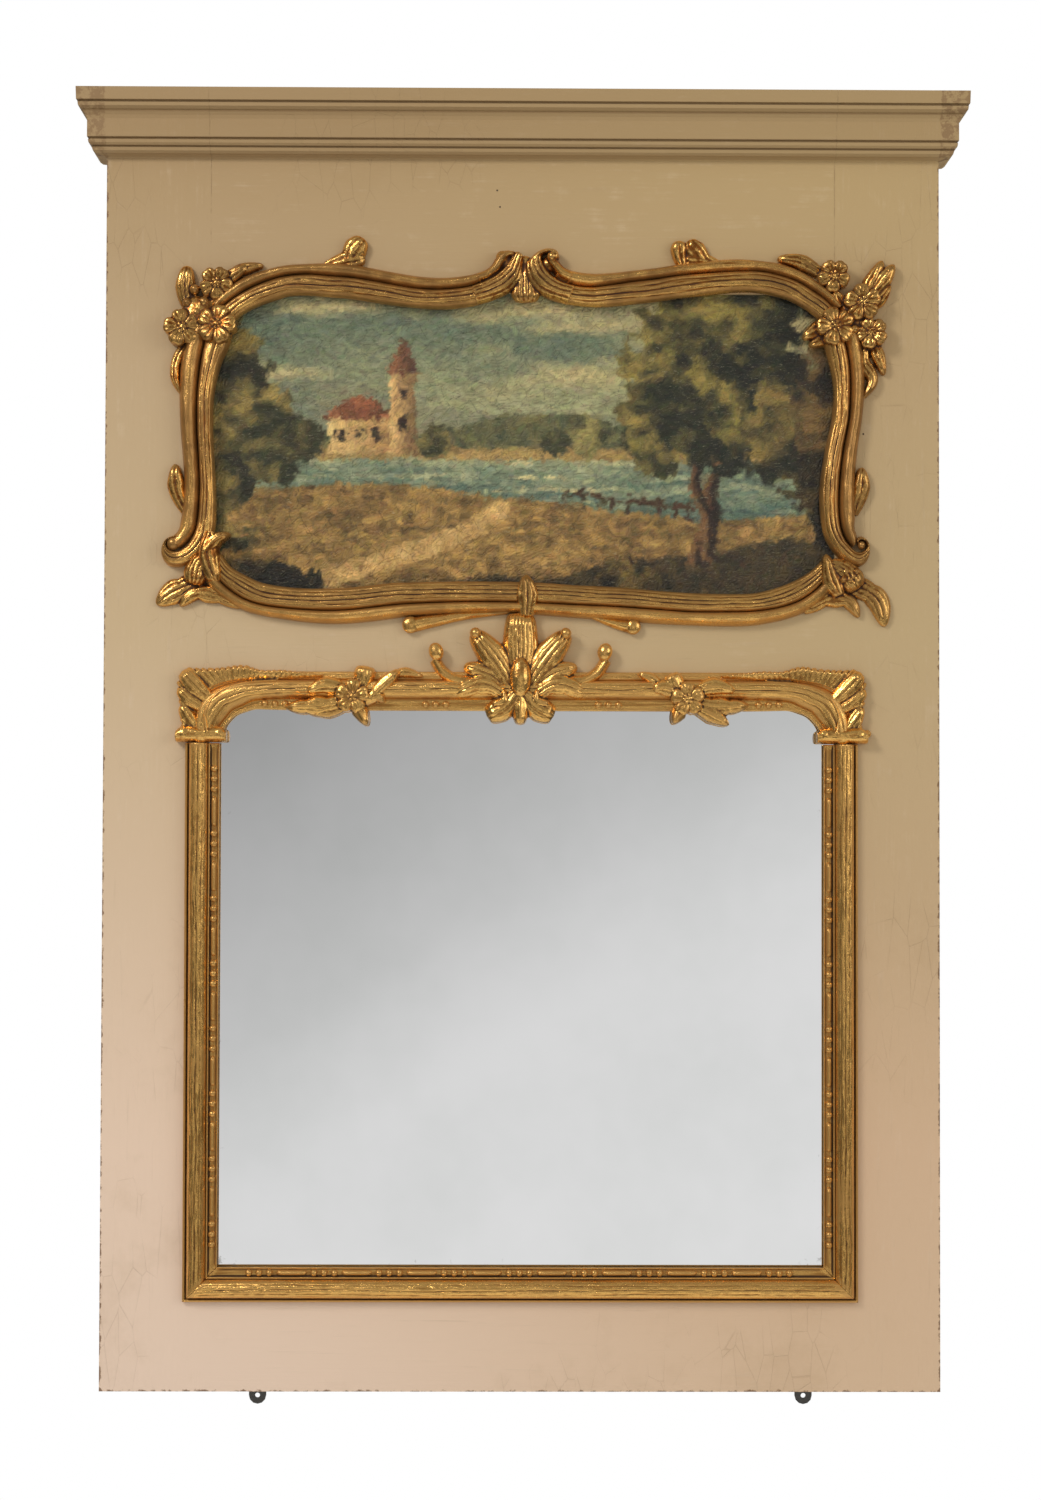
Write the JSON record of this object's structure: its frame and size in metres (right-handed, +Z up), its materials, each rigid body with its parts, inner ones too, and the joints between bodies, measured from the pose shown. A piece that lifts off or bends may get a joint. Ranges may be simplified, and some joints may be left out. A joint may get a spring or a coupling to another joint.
{
  "type": "trumeau mirror",
  "caption": "Tall wall mirror: painted board panel with a moulded cornice, a carved gilded rococo frame round a canvas above and a beaded gilded frame round a looking glass below.",
  "frame": {"origin": "midway between the centres of the two wall screws, in the wall plane", "axes": "+X to the right of someone who looks into the glass, +Y into the wall, +Z up"},
  "size_m": [1.07, 0.077, 1.5804],
  "materials": {
    "painted_pine": "aged distemper paint, worn at the edges",
    "bare_pine": "old bare pine, planed",
    "gilding": "gold leaf over red-brown bole, rubbed and patinated",
    "silvered_glass": "silvered sheet glass",
    "painted_canvas": "oil paint on linen",
    "dark_steel": "dark oxidised steel",
    "cut_iron": "black cut brads"
  },
  "bodies": {
    "panel": {"back_board_brads": "cut_iron", "back_board_lower": "bare_pine", "back_board_middle": "bare_pine", "back_board_upper": "bare_pine", "batten_bottom": "bare_pine", "batten_left": "bare_pine", "batten_right": "bare_pine", "batten_top": "bare_pine", "bottom_bud": "gilding", "bottom_rail": "painted_pine", "corner_acanthus_left": "gilding", "corner_acanthus_right": "gilding", "corner_flowers_left": "gilding", "corner_flowers_right": "gilding", "corner_leaves_left": "gilding", "corner_leaves_right": "gilding", "cornice_front": "painted_pine", "cornice_return_left": "painted_pine", "cornice_return_right": "painted_pine", "cornice_top_board": "painted_pine", "crest_shell": "gilding", "fixing_screws": "dark_steel", "flower_sprig_left": "gilding", "flower_sprig_right": "gilding", "glass_blocks": "bare_pine", "hanger_straps": "dark_steel", "left_stile": "painted_pine", "middle_rail": "painted_pine", "mirror_glass": "silvered_glass", "mirror_moulding_bottom": "gilding", "mirror_moulding_left": "gilding", "mirror_moulding_right": "gilding", "mirror_moulding_top": "gilding", "palmette_crest": "gilding", "picture_canvas": "painted_canvas", "picture_moulding_bottom": "gilding", "picture_moulding_left": "gilding", "picture_moulding_right": "gilding", "picture_moulding_top_left": "gilding", "picture_moulding_top_right": "gilding", "right_stile": "painted_pine", "shoulder_leaves": "gilding", "side_buds": "gilding", "stretcher_bottom": "bare_pine", "stretcher_cross_bar": "bare_pine", "stretcher_keys": "bare_pine", "stretcher_left": "bare_pine", "stretcher_right": "bare_pine", "stretcher_top": "bare_pine", "tenon_pegs": "bare_pine", "top_rail": "painted_pine", "twigs": "gilding", "wall_plates": "dark_steel"},
    "ring_left": {"hanger_ring_left": "dark_steel"},
    "ring_right": {"hanger_ring_right": "dark_steel"}
  },
  "joints": [
    {"name": "ring_left_hinge", "type": "hinge", "parent": "panel", "child": "ring_left", "pos_m": [-0.438, -0.0159, 1.264], "axis": [1, 0, 0], "range_deg": [0, 170]},
    {"name": "ring_right_hinge", "type": "hinge", "parent": "panel", "child": "ring_right", "pos_m": [0.412, -0.0159, 1.264], "axis": [1, 0, 0], "range_deg": [0, 170]}
  ]
}
